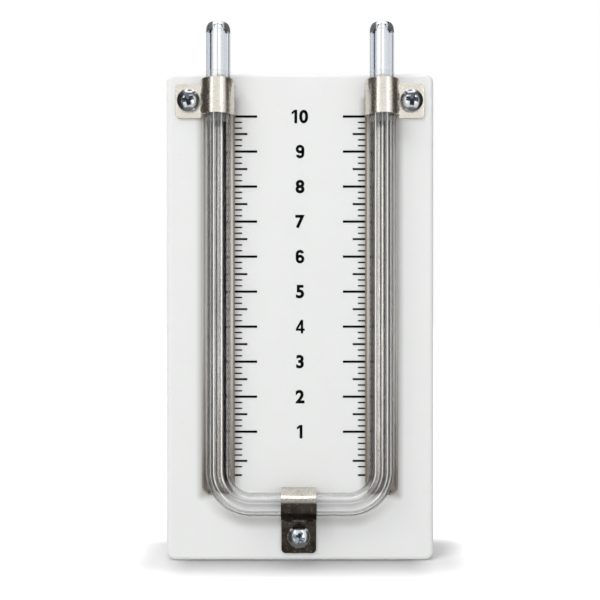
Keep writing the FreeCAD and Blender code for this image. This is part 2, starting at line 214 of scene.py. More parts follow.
def close_mesh(threshold=1e-7):
    """Merge doubles over the whole mesh and turn its faces outwards."""
    bpy.ops.mesh.select_all(action="SELECT")
    bpy.ops.mesh.remove_doubles(threshold=threshold)
    bpy.ops.mesh.normals_make_consistent(inside=False)


def apply_modifier(piece, kind, **settings):
    """Add a modifier to a piece and apply it."""
    modifier = piece.modifiers.new(kind.title(), kind)
    for name, value in settings.items():
        setattr(modifier, name, value)
    bpy.context.view_layer.objects.active = piece
    bpy.ops.object.modifier_apply(modifier=modifier.name)


def soften(piece, width, segments, degrees):
    """Round every edge of a piece that is sharper than an angle."""
    apply_modifier(piece, "BEVEL", width=width, segments=segments, limit_method="ANGLE",
                   angle_limit=math.radians(degrees))


def cut(piece, tool):
    """Take the tool's volume away from a piece and throw the tool away."""
    apply_modifier(piece, "BOOLEAN", object=tool, operation="DIFFERENCE", solver="EXACT")
    bpy.data.objects.remove(tool, do_unlink=True)


def finish_piece(piece, material, slot, *nodes, angle=35):
    """Put a piece's place into its mesh, shade it, dress it, and hand it to the frame."""
    select_only(piece)
    bpy.ops.object.transform_apply(location=True, rotation=True, scale=True)
    bpy.ops.object.shade_smooth_by_angle(angle=math.radians(angle))
    piece.data.materials.clear()
    piece.data.materials.append(material)
    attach(piece, "root")
    if nodes:
        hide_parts(*nodes)
    piece.select_set(False)


# Shader nodes, reckoned with like numbers

class Signal:
    """An output of a shader node that is reckoned with like a number: each step adds a Math node."""

    def __init__(self, made, output=0):
        self.made, self.tree, self.socket = made, made.id_data, made.outputs[output]

    def __getitem__(self, output):
        """Another output of the same node."""
        return Signal(self.made, output)

    def __add__(self, other):
        return maths("ADD", self, other)

    def __radd__(self, other):
        return maths("ADD", other, self)

    def __sub__(self, other):
        return maths("SUBTRACT", self, other)

    def __rsub__(self, other):
        return maths("SUBTRACT", other, self)

    def __mul__(self, other):
        return maths("MULTIPLY", self, other)

    def __truediv__(self, other):
        return maths("DIVIDE", self, other)

    def __pow__(self, other):
        return maths("POWER", self, other)

    def __gt__(self, other):
        return maths("GREATER_THAN", self, other)

    def __lt__(self, other):
        return maths("LESS_THAN", self, other)

    def __abs__(self):
        return maths("ABSOLUTE", self)


def rgb(tint):
    """The three channels of a colour. A number is a grey."""
    return (tint,) * 3 if isinstance(tint, (int, float)) else tuple(tint[:3])


def feed(socket, value):
    """Link an input to a signal, or give it a plain value."""
    if isinstance(value, Signal):
        value.tree.links.new(value.socket, socket)
    else:
        socket.default_value = (*rgb(value), 1.0) if socket.type == "RGBA" else value


def feed_all(made, **values):
    """Feed a node's inputs by their names, with _ for a space."""
    for name, value in values.items():
        feed(made.inputs[name.replace("_", " ")], value)


def node(tree, kind, **values):
    """A new node. Names of inputs feed them, other names set its properties."""
    made = tree.nodes.new("ShaderNode" + kind)
    for name, value in values.items():
        label = name.replace("_", " ")
        if label in made.inputs:
            feed(made.inputs[label], value)
        else:
            setattr(made, name, value)
    return Signal(made)


def in_order(kind, *values, **settings):
    """A new node beside the signals among its values, which feed its inputs by their numbers."""
    tree = next(value.tree for value in values if isinstance(value, Signal))
    signal = node(tree, kind, **settings)
    for socket, value in zip([each for each in signal.made.inputs if each.enabled], values):
        feed(socket, value)
    return signal


def maths(operation, *operands):
    """A sum, product or other reckoning with signals and numbers."""
    return in_order("Math", *operands, operation=operation)


def clamped(signal):
    """The result of a Math node held between 0 and 1."""
    signal.made.use_clamp = True
    return signal


def positive(signal):
    """A signal with 0 wherever it is lower."""
    return maths("MAXIMUM", signal, 0.0)


def within(signal, low, high):
    """1 where a signal lies between two limits, 0 elsewhere."""
    return (signal > low) * (signal < high)


def spread(signal, low, high, start=0.0, end=1.0, **settings):
    """A signal that goes from low to high while another goes from start to end."""
    return node(signal.tree, "MapRange", Value=signal, From_Min=start, From_Max=end, To_Min=low, To_Max=high,
                **settings)


def ease(signal, start, end, low=0.0, high=1.0):
    """As spread, with a soft beginning and end."""
    return spread(signal, low, high, start, end, interpolation_type="SMOOTHSTEP")


def place(tree, kind="Object"):
    """The place of a point of the surface, with outputs X, Y and Z."""
    return node(tree, "SeparateXYZ", Vector=node(tree, "TexCoord")[kind])


def blend(mask, low, high, kind="MIX"):
    """Two colours mixed by a mask."""
    return in_order("Mix", mask, low, high, data_type="RGBA", blend_type=kind)[2]


def mix_shaders(mask, first, second):
    """Two shaders mixed by a mask."""
    return in_order("MixShader", mask, first, second)


def fill_ramp(share, stops):
    """A colour ramp over 0..1."""
    ramp = node(share.tree, "ValToRGB", Fac=share)
    elements = ramp.made.color_ramp.elements
    for index, (position, tint) in enumerate(stops):
        stop = elements[index] if index < 2 else elements.new(position)
        stop.position = position
        stop.color = (*rgb(tint), 1.0)
    return ramp


def line_ramp(share, stops, cool=0.0):
    """A ramp of shares of light let through, squared as glass passes the root of its colour."""
    return fill_ramp(share, [
        (position, (let ** (2 + 0.5 * cool), let ** (2 + 0.2 * cool), let ** (2 - 0.2 * cool)))
        for position, let in stops])


def ramp_by_angle(angle, stops):
    """A colour ramp over -180..180 degrees."""
    share = spread(angle, 0.0, 1.0, -math.pi, math.pi)
    return fill_ramp(share, [(degrees / 360 + 0.5, tint) for degrees, tint in stops])


def shade(tint, factor):
    """A colour made darker or lighter."""
    return tuple(min(1.0, channel * factor) for channel in tint)


def raise_surface(surface, height, strength, distance):
    """Drive the shader's normal by a height."""
    feed_all(surface, Normal=node(height.tree, "Bump", Strength=strength, Distance=distance, Height=height))


# Node groups shared by the finishes

def use_group(tree, fill, *details, **values):
    """A node of a shared group with its values. The group is filled at its first use.

    The filling function names the group. It gets the group, its inputs and any details, and gives back
    the group's outputs by their names.
    """
    name = fill.__name__
    group = bpy.data.node_groups.get(name)
    if not group:
        group = bpy.data.node_groups.new(name, "ShaderNodeTree")
        for label in values:
            group.interface.new_socket(name=label.replace("_", " "), in_out="INPUT",
                                       socket_type="NodeSocketFloat")
        results = fill(group, Signal(group.nodes.new("NodeGroupInput")), *details)
        for label in results:
            group.interface.new_socket(name=label, in_out="OUTPUT", socket_type="NodeSocketFloat")
        feed_all(group.nodes.new("NodeGroupOutput"), **results)
    return node(tree, "Group", node_tree=group, **values)


def mottle(group, given):
    """Cloudy patches broken up by finer ones: plating, tarnish and handled plastic."""
    here = node(group, "TexCoord")["Object"]
    clouds = node(group, "TexNoise", Vector=here, Scale=given["Scale"], Detail=4.0, Roughness=0.6)
    specks = node(group, "TexNoise", Vector=here, Scale=given["Detail Scale"], Detail=3.0, Roughness=0.7)
    both = (clouds["Fac"] - 0.5) + (specks["Fac"] - 0.5) * 0.6
    return {"Mask": clamped(both * given["Contrast"] + 0.5), "Height": both}


def drawn_lines(group, given):
    """Long faint lines along the height, of rolled and pressed metal."""
    point = place(group)
    stretched = node(group, "CombineXYZ", X=point["X"] * given["Across"], Y=point["Y"] * given["Across"],
                     Z=point["Z"] * given["Along"])
    lines = node(group, "TexNoise", Vector=stretched, Scale=1.0, Detail=3.0, Roughness=0.55)
    return {"Lines": clamped((lines["Fac"] - 0.5) * given["Contrast"] + 0.5)}


def dust_specks(group, given):
    """Sparse small specks: dust and pits."""
    cells = node(group, "TexVoronoi", Vector=node(group, "TexCoord")["Object"], Scale=given["Scale"],
                 Randomness=1.0)
    chance = node(group, "SeparateColor", Color=cells["Color"])["Red"]
    return {"Mask": (cells["Distance"] < given["Size"]) * (chance < given["Amount"])}


def along_tube(group, given, sizes):
    """Places on the bent tube: across it as a reader sees it, how far round a bend, and on its front."""
    point = place(group)
    turn = sizes.bend_radius
    before = AXIS_Y - point["Y"]
    magnified = 1.0 + before / (AXIS_Y - CAMERA[1])
    seen_x = point["X"] * magnified
    seen_z = (point["Z"] - CAMERA[2]) * magnified
    sideways = positive(abs(seen_x) - (LIMB_X - turn))
    downwards = positive(RUN_Z + turn - CAMERA[2] - seen_z)
    down = downwards * downwards
    total = sideways * sideways + down
    off_line = maths("SQRT", total) - turn
    outwards = off_line / TUBE_RADIUS
    mid_wall = (TUBE_RADIUS + sizes.bore_radius) / 2
    crest = (TUBE_RADIUS + sizes.rim_mouth) / 2 - 0.18 * MM
    at_rim = point["Z"] > LIMB_TOP - RIM_ROUND
    reached = before * before + off_line * off_line + at_rim * (mid_wall ** 2 - crest ** 2)
    return {"Outwards": outwards, "Rightwards": outwards * maths("SIGN", point["X"]), "Level": down / total,
            "Front": (reached > mid_wall ** 2) * (before > 0.0)}


def new_finish(name, **shader):
    """A material and its shader with plain values, or the material made before and None."""
    material = bpy.data.materials.get(name)
    if material:
        return material, None
    material = bpy.data.materials.new(name)
    material.use_nodes = True
    surface = material.node_tree.nodes["Principled BSDF"]
    feed_all(surface, **shader)
    return material, surface


def beside_troughs(tree):
    """Mask of painted shade on the board along the edges of the troughs."""
    low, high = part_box("right_backing_trough")
    point, reach = place(tree), 2.0 * MM
    beyond_x = abs(abs(point["X"]) - (low.x + high.x) / 2) - (high.x - low.x) / 2
    beyond_z = abs(point["Z"] - (low.z + high.z) / 2) - (high.z - low.z) / 2
    out_x, out_z = positive(beyond_x), positive(beyond_z)
    away = maths("SQRT", out_x * out_x + out_z * out_z)
    on_front = point["Y"] < FACE_Y + 0.3 * MM
    return clamped(1.0 - away / reach) ** 1.3 * on_front


def under_run(tree, sizes):
    """Mask of the soft shade on the board just under the run of the tube."""
    tube = use_group(tree, along_tube, sizes)
    below = ease(tube["Outwards"], 0.85, 1.15) * ease(tube["Outwards"], 1.2, 2.2, 0.8, 0.0)
    return below * tube["Level"]


def board_finish(sizes, colours):
    """White board: satin moulded plastic, faintly cloudy, finely textured, a little dusty, with painted shade
    by the troughs and run.
    """
    material, surface = new_finish("white_board", Specular_IOR_Level=0.35)
    if surface:
        tree = surface.id_data
        clouds = use_group(tree, mottle, Scale=90.0, Detail_Scale=900.0, Contrast=1.4)
        dust = use_group(tree, dust_specks, Scale=260.0, Size=0.05, Amount=0.25)
        less_darkened = blend(clouds["Mask"], shade(colours.board, 0.985), shade(colours.board, 1.01))
        dusty = blend(dust, less_darkened, shade(colours.board, 0.86))
        # Painted shade: the board goes grey along the troughs' edges and just under the run.
        painted_shade = maths("MAXIMUM", beside_troughs(tree), under_run(tree, sizes))
        feed_all(surface, Base_Color=blend(painted_shade, dusty, (0.47, 0.465, 0.45)),
                 Roughness=spread(clouds["Mask"], 0.42, 0.52))
        raise_surface(surface, clouds["Height"], strength=0.12, distance=0.05 * MM)
    return material


def ink_finish(colours):
    """Black print: even ink, slightly greyer where it is thin, a little shinier than the board."""
    material, surface = new_finish("black_print", Specular_IOR_Level=0.03)
    if surface:
        thin = use_group(surface.id_data, mottle, Scale=1200.0, Detail_Scale=6000.0, Contrast=2.4)["Mask"]
        feed_all(surface, Base_Color=blend(thin, colours.ink, shade(colours.ink, 2.4)),
                 Roughness=spread(thin, 0.5, 0.65))
    return material


def glass_lines(tube):
    """Colours of the painted lines along the tube that stand in for refraction and reflection, and strengths
    of its painted highlights, as seen from its front.

    Each table runs from one side of the tube to the other: the reader's left to right along the limbs,
    and from inside the U outwards along the run.
    """
    rightwards = spread(tube["Rightwards"], 0.0, 1.0, -1.0, 1.0)
    outwards = spread(tube["Outwards"], 0.0, 1.0, -1.0, 1.0)
    above = line_ramp(rightwards, (
        (0.0, 0.4), (0.03, 0.4), (0.05, 0.7), (0.155, 0.7), (0.165, 0.1), (0.205, 0.1), (0.24, 0.6),
        (0.29, 0.8), (0.34, 1.0), (0.445, 1.0), (0.455, 0.62), (0.485, 0.62), (0.495, 1.0), (0.58, 1.0),
        (0.62, 0.7), (0.86, 0.7), (0.88, 0.85), (0.905, 0.85), (0.915, 0.3), (0.95, 0.3), (0.96, 0.7)),
        cool=1.0)
    left = line_ramp(rightwards, (
        (0.0, 0.5), (0.08, 0.6), (0.09, 0.18), (0.165, 0.18), (0.175, 0.6), (0.24, 0.5), (0.25, 0.22),
        (0.28, 0.22), (0.285, 1.0), (0.335, 1.0), (0.34, 0.5), (0.405, 0.46), (0.41, 0.12), (0.455, 0.12),
        (0.465, 0.5), (0.52, 0.75), (0.555, 0.42), (0.61, 0.42), (0.615, 1.0), (0.665, 1.0), (0.675, 0.45),
        (0.695, 0.05), (0.82, 0.06), (0.86, 0.3), (0.875, 0.55), (0.94, 0.5), (0.97, 0.26)))
    right = line_ramp(rightwards, (
        (0.0, 0.13), (0.165, 0.13), (0.2, 0.3), (0.215, 1.0), (0.265, 1.0), (0.275, 0.5), (0.31, 0.72),
        (0.42, 0.72), (0.425, 0.12), (0.47, 0.12), (0.48, 0.45), (0.51, 0.9), (0.55, 0.9), (0.56, 0.2),
        (0.59, 0.1), (0.63, 0.1), (0.66, 0.3), (0.7, 0.5), (0.715, 1.0), (0.76, 1.0), (0.77, 0.4),
        (0.8, 0.12), (0.84, 0.12), (0.85, 0.62), (0.91, 0.58), (0.94, 0.36)))
    run = line_ramp(outwards, (
        (0.0, 0.68), (0.15, 0.7), (0.19, 0.95), (0.21, 1.0), (0.26, 1.0), (0.31, 0.95), (0.35, 0.76),
        (0.4, 0.66), (0.43, 0.88), (0.47, 0.8), (0.51, 0.66), (0.56, 0.74), (0.65, 0.95), (0.77, 1.0),
        (0.8, 0.76), (0.86, 0.74), (0.87, 1.0), (0.905, 1.0), (0.91, 0.22), (0.95, 0.22), (0.96, 0.8)))
    left_painted_highlight = line_ramp(rightwards, (
        (0.0, 0.0), (0.28, 0.0), (0.295, 0.62), (0.325, 0.62), (0.34, 0.0), (0.605, 0.0), (0.62, 0.5),
        (0.655, 0.5), (0.67, 0.0)))
    right_painted_highlight = line_ramp(rightwards, (
        (0.0, 0.0), (0.21, 0.0), (0.225, 0.66), (0.255, 0.66), (0.27, 0.0), (0.5, 0.0), (0.52, 0.4),
        (0.54, 0.4), (0.56, 0.0), (0.71, 0.0), (0.725, 0.6), (0.75, 0.6), (0.765, 0.0)))
    point = place(tube.tree)
    on_right, over_clip = point["X"] > 0.0, point["Z"] > middle("left_clip_sleeve").z
    bent = ease(tube["Level"], 0.0, 1.0)
    lines = blend(bent, blend(over_clip, blend(on_right, left, right), above), run)
    painted_highlight = blend(bent, blend(over_clip, blend(on_right, left_painted_highlight, right_painted_highlight), 0.0), 0.0)
    return lines, painted_highlight


def rim_shadow(tube):
    """Mask of painted dark crescents under the rims, at both sides of the bore."""
    down = (LIMB_TOP - place(tube.tree)["Z"]) / (4 * MM)
    collar = line_ramp(down, ((0.0, 0.0), (0.05, 0.0), (0.12, 1.0), (0.66, 1.0), (0.76, 0.0), (1.0, 0.0)))
    return collar * ease(abs(tube["Rightwards"]), 0.36, 0.56)


def glass_finish(sizes):
    """Clear drawn glass with painted lines along it in place of refraction and reflection, glowing painted
    highlights, and painted shade at the shoulders of its rims.

    The lines show where a ray enters from the front. To lamps the glass is a tinted window, so that
    light reaches the board through it.
    """
    material, surface = new_finish("clear_glass", Base_Color=1.0, Metallic=0.0, Roughness=0.0,
                                   Transmission_Weight=1.0, IOR=1.474)
    if surface:
        tree = surface.id_data
        tube = use_group(tree, along_tube, sizes)
        front = tube["Front"] * (1.0 - node(tree, "NewGeometry")["Backfacing"])
        lines, painted_highlight = glass_lines(tube)
        crescent = rim_shadow(tube) * front
        # Painted lines and dark crescents go into the colour, and painted highlights glow as emission.
        feed_all(surface, Base_Color=blend(crescent, blend(front, 1.0, lines), (0.05, 0.052, 0.055)),
                 Emission_Color=(0.96, 0.98, 1.0), Emission_Strength=painted_highlight * front)
        # A near-black diffuse mixed in at the crescents: painted shade.
        painted_gloom = node(tree, "BsdfDiffuse", Color=(0.06, 0.062, 0.066))
        glass = mix_shaders(crescent * 0.65, Signal(surface), painted_gloom)
        path = node(tree, "LightPath")
        dimmed = blend(node(tree, "LayerWeight", Blend=0.5)["Facing"], 0.95, (0.3, 0.31, 0.32))
        window = node(tree, "BsdfTransparent", Color=blend(path["Is Shadow Ray"], 1.0, dimmed))
        passing = clamped(path["Is Shadow Ray"] + path["Is Diffuse Ray"])
        feed_all(tree.nodes["Material Output"], Surface=mix_shaders(passing, glass, window))
    return material


def sleeve_finish():
    """Clear thin film: mostly see-through, a little cloudy, with a soft shine."""
    material, surface = new_finish("clear_sleeve", Metallic=0.0, IOR=1.46)
    if surface:
        haze = use_group(surface.id_data, mottle, Scale=500.0, Detail_Scale=3000.0, Contrast=2.0)["Mask"]
        feed_all(surface, Base_Color=blend(haze, (0.78, 0.79, 0.80), 0.9), Roughness=spread(haze, 0.08, 0.22),
                 Alpha=spread(haze, 0.04, 0.1))
    return material


def trough_finish(colours):
    """Nickel plate on pressed sheet: streaks along the troughs, painted shade and a painted bright band
    across the width, brown low down.
    """
    material, surface = new_finish("plated_trough", Metallic=1.0)
    if surface:
        tree = surface.id_data
        low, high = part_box("right_backing_trough")
        streaks = use_group(tree, drawn_lines, Across=1500.0, Along=5.0, Contrast=4.0)
        stain = use_group(tree, mottle, Scale=160.0, Detail_Scale=1400.0, Contrast=2.0)["Mask"]
        streaked = blend(streaks, shade(colours.trough, 0.8), shade(colours.trough, 1.3))
        point = place(tree)
        inwards = spread(abs(point["X"]), 0.0, 1.0, high.x, low.x)
        # Painted shade and highlight across the width: darker outer lip, a bright cream band and a dark brown
        # edge at the inner lip.
        painted_light_across = fill_ramp(inwards, (
            (0.0, 0.62), (0.06, 0.62), (0.08, 0.8), (0.17, 0.72), (0.2, 1.0), (0.82, 1.0),
            (0.84, (0.5, 0.46, 0.42)), (0.86, (1.0, 0.96, 0.92)), (0.93, (1.0, 0.96, 0.92)),
            (0.945, (0.3, 0.25, 0.21)), (1.0, (0.3, 0.25, 0.21))))
        on_rim = fill_ramp(inwards, (
            (0.0, 1.0), (0.17, 1.0), (0.2, 0.0), (0.82, 0.0), (0.84, 1.0), (1.0, 1.0)))
        with_painted_light = blend(1.0, blend(on_rim, streaked, (0.96, 0.94, 0.9)), painted_light_across, "MULTIPLY")
        brown = spread(point["Z"], 0.0, 1.0, 65 * MM, 24 * MM) * spread(stain, 0.55, 0.95)
        feed_all(surface, Base_Color=blend(brown, with_painted_light, (0.22, 0.18, 0.14)),
                 Roughness=spread(stain, 0.05, 0.12) + on_rim * 0.4, Metallic=1.0 - on_rim)
        raise_surface(surface, streaks, strength=0.8, distance=0.25 * MM)
    return material


def clip_finish(colours, name, least, most, darker_below=None):
    """Nickel plate on the clips: bright, warm, with brown oxide that spreads between two shares.

    Where a height is given, the stain is much darker, and below that height it covers nearly all of the
    plate.
    """
    material, surface = new_finish(name, Metallic=1.0)
    if surface:
        tree = surface.id_data
        stain = use_group(tree, mottle, Scale=420.0, Detail_Scale=2600.0, Contrast=2.2)
        pits = use_group(tree, dust_specks, Scale=2600.0, Size=0.25, Amount=0.18)
        share, oxide = spread(stain["Mask"], least, most), colours.clip_stain
        # Below the given height the plate turns near black in patches.
        if darker_below:
            below = ease(place(tree)["Z"], darker_below, darker_below - 1.4 * MM)
            share = maths("MAXIMUM", share, below * spread(stain["Mask"], 0.95, 1.0))
            oxide = shade(oxide, 0.12)
        plate = blend(share, colours.clip, oxide)
        feed_all(surface, Base_Color=blend(pits, plate, shade(colours.clip, 0.35)),
                 Roughness=spread(stain["Mask"], 0.22, 0.32))
        raise_surface(surface, stain["Height"], strength=0.1, distance=0.02 * MM)
    return material


def screw_finish(colours, name, strength, rim_shade_share=0.42):
    """Zinc on the screws: cool, with darker smears, and painted shade towards the rim of the head in place of
    the dark room it reflects.
    """
    material, surface = new_finish(name, Metallic=1.0)
    if surface:
        tree = surface.id_data
        smears = use_group(tree, mottle, Scale=700.0, Detail_Scale=3600.0, Contrast=1.5)
        dome = blend(smears["Mask"], shade(colours.screw, 0.75 * strength), shade(colours.screw, strength))
        # Painted shade: the colour darkens towards the rim of the dome, by how squarely it faces the view.
        rim = ease(node(tree, "LayerWeight", Blend=0.5)["Facing"], 0.1, 0.26)
        feed_all(surface, Base_Color=blend(rim, dome, shade(colours.screw, rim_shade_share * strength)),
                 Roughness=spread(smears["Mask"], 0.24, 0.14))
        raise_surface(surface, smears["Height"], strength=0.2, distance=0.03 * MM)
    return material


# Pieces

def follow_u(sizes, top):
    """Carry the selected ring down one limb, through both bends and the run, and up the other limb."""
    turn = sizes.bend_radius
    high = RUN_Z + turn
    extrude(z=high - top)
    spin(90, 28, (turn - LIMB_X, AXIS_Y, high), (0, 1, 0))
    extrude(x=2 * (LIMB_X - turn))
    spin(90, 28, (LIMB_X - turn, AXIS_Y, high), (0, 1, 0))
    extrude(z=top - high)


def rim_steps(outer, inner, mouth):
    """Radii and levels from a limb's shoulder over the crest of its rim and down into the bore."""
    lip, funnel = 0.9 * MM, 2.7 * MM
    shoulder, crest = LIMB_TOP - RIM_ROUND, (outer + mouth) / 2 - 0.15 * MM
    angles = [math.radians(7.5 * count) for count in range(1, 13)]
    steps = [(crest + (outer - crest) * math.cos(angle), shoulder + RIM_ROUND * math.sin(angle))
             for angle in angles]
    steps += [(crest - (crest - mouth) * math.sin(angle), LIMB_TOP - lip * (1 - math.cos(angle)))
              for angle in angles]
    for count in range(1, 9):
        share = count / 8
        eased = (1 - math.cos(math.pi * share)) / 2
        steps.append((mouth + (inner - mouth) * eased, LIMB_TOP - lip - funnel * share))
    return steps


def make_glass(sizes):
    """The bent glass tube: outer wall, bore, and fire polished rims that draw in a little."""
    outer, inner = TUBE_RADIUS, sizes.bore_radius
    steps = rim_steps(outer, inner, sizes.rim_mouth)
    shoulder, throat = LIMB_TOP - RIM_ROUND, steps[-1][1]
    add_ring = bpy.ops.mesh.primitive_circle_add
    piece = start(add_ring, "glass_tube", vertices=sizes.tube_sides, radius=outer,
                  location=(-LIMB_X, AXIS_Y, shoulder))
    follow_u(sizes, shoulder)
    bpy.ops.mesh.select_all(action="DESELECT")
    add_ring(vertices=sizes.tube_sides, radius=inner, location=(-LIMB_X, AXIS_Y, throat))
    follow_u(sizes, throat)
    for limb in (-LIMB_X, LIMB_X):
        pick("EDGE", every(lambda point: abs(point.z - shoulder) < FLAT and point.x * limb > 0))
        radius, level = outer, shoulder
        for next_radius, next_level in steps:
            extrude(z=next_level - level)
            shrink = next_radius / radius
            bpy.ops.transform.resize(value=(shrink, shrink, 1), center_override=(limb, AXIS_Y, next_level))
            radius, level = next_radius, next_level
    close_mesh(threshold=2e-6)
    finish_piece(piece, glass_finish(sizes), "glass", "glass_u_tube", angle=60)


def both_sides(left, name, solid):
    """A piece of the left side and its copy on the right, each with the solid that it replaces."""
    right = copy_of(left, "right_" + name)
    right.location.x += middle("right_" + solid).x - middle("left_" + solid).x
    return (left, "left_" + solid), (right, "right_" + solid)


def make_sleeve():
    """A thin clear sleeve between the left limb and its clip."""
    low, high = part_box("left_clip_sleeve")
    centre = (low + high) / 2
    add_ring = bpy.ops.mesh.primitive_circle_add
    ring = {"vertices": 72, "location": (centre.x, centre.y, low.z)}
    piece = start(add_ring, "left_sleeve", radius=(high.y - low.y) / 2, **ring)
    extrude(z=high.z - low.z)
    bpy.ops.mesh.select_all(action="DESELECT")
    add_ring(radius=TUBE_RADIUS + 0.02 * MM, **ring)
    extrude(z=high.z - low.z)
    for level in (low.z, high.z):
        pick("EDGE", every(lambda point: abs(point.z - level) < FLAT))
        bpy.ops.mesh.bridge_edge_loops()
    close_mesh()
    pick("EDGE", lambda edge: edge.is_manifold and edge.calc_face_angle() > 1.0)
    bevel(0.05 * MM, 2)
    piece.visible_shadow = False
    return piece


def make_trough(sizes):
    """The left pressed trough: a block rounded along its floor, opened at the front and given its sheet."""
    low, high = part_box("left_backing_trough")
    piece = start(bpy.ops.mesh.primitive_cube_add, "left_trough", size=1.0, location=(low + high) / 2,
                  scale=high - low)
    select_only(piece)
    bpy.ops.object.transform_apply(location=True, rotation=True, scale=True)
    bpy.ops.object.mode_set(mode="EDIT")
    pick("FACE", facing_down(1))
    bpy.ops.mesh.delete(type="FACE")
    pick("EDGE", lambda edge: abs(edge.verts[0].co.y - edge.verts[1].co.y) > MM)
    bevel(sizes.trough_corner, 10)
    pick("EDGE", every(lambda point: abs(point.y - high.y) < FLAT))
    bevel(sizes.trough_round, 10)
    close_mesh()
    bpy.ops.object.mode_set(mode="OBJECT")
    apply_modifier(piece, "SOLIDIFY", thickness=sizes.trough_sheet, offset=-1.0, use_even_offset=True)
    soften(piece, 0.22 * MM, 4, 50)
    return piece


def make_clip(sizes, name, inner, crown, length, screw_at, tip):
    """A folded clip that rises along Z with its ear towards +X, to be turned into place.

    inner is the arch's inner radius and crown the height of its top. screw_at and tip lie along the ear.
    """
    sheet, fold, foot = sizes.clip_sheet, sizes.clip_fold, 0.1 * MM
    outer = inner + sheet
    centre = crown - outer
    piece = start(bpy.ops.mesh.primitive_plane_add, name, size=1.0, location=(0, 0, 0))
    bpy.ops.transform.resize(value=(sheet, length, 1))
    bpy.ops.transform.translate(value=(-inner - sheet / 2, 0, foot))
    extrude(z=centre - foot)
    spin(180, 40, (0, 0, centre), (0, -1, 0))
    extrude(z=sheet + fold - centre)
    spin(-90, 8, (outer + fold, 0, sheet + fold), (0, -1, 0))
    extrude(x=tip - outer - fold)
    close_mesh()
    pick("EDGE", lambda edge: all(vertex.co.x > tip - FLAT for vertex in edge.verts)
         and abs(edge.verts[0].co.z - edge.verts[1].co.z) > sheet / 2)
    bevel(sizes.ear_corner, 8)
    tool = start(bpy.ops.mesh.primitive_cylinder_add, "hole_tool", vertices=48, radius=2.05 * MM,
                 depth=4 * sheet, location=(screw_at, 0, sheet / 2))
    bpy.ops.object.mode_set(mode="OBJECT")
    cut(piece, tool)
    soften(piece, sizes.sheet_edge, 3, 50)
    return piece


def stand_clip(piece, outward, spot):
    """Turn a clip from its modelling place onto the board, with its ear in a direction."""
    outward, front = Vector(outward), Vector((0, -1, 0))
    turn = Matrix((outward, front.cross(outward), front)).transposed().to_4x4()
    piece.matrix_world = Matrix.Translation(spot) @ turn


def make_screw(sizes):
    """One screw, modelled upright on its seat: domed head, cross recess and pointed shank.

    Gives the screw and the numbers of the faces at the bottom of its recess.
    """
    radius, side, high = sizes.head_radius, sizes.head_side, sizes.head_height
    shank_radius, shank_length, point_length = 1.75 * MM, 8 * MM, 1.9 * MM
    floor = high - 2.5 * MM
    rise = high - side
    dome = (radius ** 2 + rise ** 2) / (2 * rise)
    piece = start(bpy.ops.mesh.primitive_uv_sphere_add, "screw", segments=64, ring_count=98, radius=dome,
                  location=(0, 0, high - dome))
    bpy.ops.mesh.bisect(plane_co=(0, 0, side), plane_no=(0, 0, 1), clear_inner=True, threshold=1e-7)
    pick("EDGE", every(lambda point: abs(point.z - side) < FLAT))
    extrude(z=-side)
    shrink = shank_radius / radius
    bpy.ops.mesh.extrude_region_move()
    bpy.ops.transform.resize(value=(shrink, shrink, 1))
    extrude(z=-shank_length)
    extrude(z=-point_length)
    bpy.ops.mesh.merge(type="CENTER")
    close_mesh()
    for degrees in (0, 90):
        tool = start(bpy.ops.mesh.primitive_cube_add, "cross_tool", size=1.0,
                     location=(0, 0, floor + 1.6 * MM), scale=(4.9 * MM, 1.5 * MM, 3.2 * MM),
                     rotation=(0, 0, math.radians(degrees)))
        pick("FACE", facing_down(2))
        bpy.ops.transform.resize(value=(0.22, 0.4, 1), orient_type="LOCAL")
        bpy.ops.object.mode_set(mode="OBJECT")
        cut(piece, tool)
    soften(piece, 0.09 * MM, 3, 32)
    select_only(piece)
    bpy.ops.object.transform_apply(location=True, rotation=True, scale=True)
    recess = [face.index for face in piece.data.polygons
              if abs(face.center.z - floor) < 0.05 * MM and math.hypot(*face.center.xy) < 2.4 * MM]
    return piece, recess


def print_digit(sizes, digit, x, level):
    """One printed digit of the typeface, made bolder, flat on the board with its middle at a place."""
    select_only()
    bpy.ops.object.text_add()
    words = bpy.context.object.data
    words.body, words.align_x, words.resolution_u = digit, "CENTER", 6
    words.offset, words.extrude = 0.038, 0.5
    bpy.ops.object.convert(target="MESH")
    figure = bpy.context.object
    low, high = Vector(figure.bound_box[0]), Vector(figure.bound_box[6])
    scale = sizes.figure_height / (high.y - low.y)
    centre = (low + high) / 2 * scale
    figure.scale = (scale, scale, INK / (high.z - low.z))
    figure.rotation_euler = (math.radians(90), 0, 0)
    figure.location = (x - centre.x, PRINT_Y, level - centre.y)
    return figure


def print_one(sizes, x, level):
    """The digit 1: an upright stem with its right side at a place, and a sloping flag."""
    tall, stroke = sizes.figure_height, 0.8 * MM
    figure = start(bpy.ops.mesh.primitive_cube_add, "one", size=1.0, location=(x, PRINT_Y, level),
                   scale=(stroke, INK, tall))
    pick("FACE", facing_down(0))
    bpy.ops.mesh.subdivide(number_cuts=4)
    top = every(lambda point: point.z > level + 0.29 * tall)
    pick("FACE", lambda face: facing_down(0)(face) and top(face))
    extrude(x=-0.5 * MM, z=-0.42 * MM)
    extrude(x=-0.3 * MM, z=-0.14 * MM)
    bpy.ops.transform.resize(value=(1, 1, 0.8))
    return figure


def print_four(sizes, x, level):
    """The digit 4: an upright, a bar across it, and a slope from the bar's end to the top."""
    stroke, thin = 0.68 * MM, 0.62 * MM
    add_bar = bpy.ops.mesh.primitive_cube_add
    figure = start(add_bar, "four", size=1.0, location=(x + 0.56 * MM, PRINT_Y, level),
                   scale=(stroke, INK, sizes.figure_height))
    add_bar(size=1.0, location=(x + 0.08 * MM, PRINT_Y, level - 0.86 * MM), scale=(2.51 * MM, INK, thin))
    add_bar(size=1.0, location=(x - 0.21 * MM, PRINT_Y, level + 0.5 * MM),
            rotation=(0, math.radians(29.7), 0), scale=(thin, INK, 2.85 * MM))
    return figure


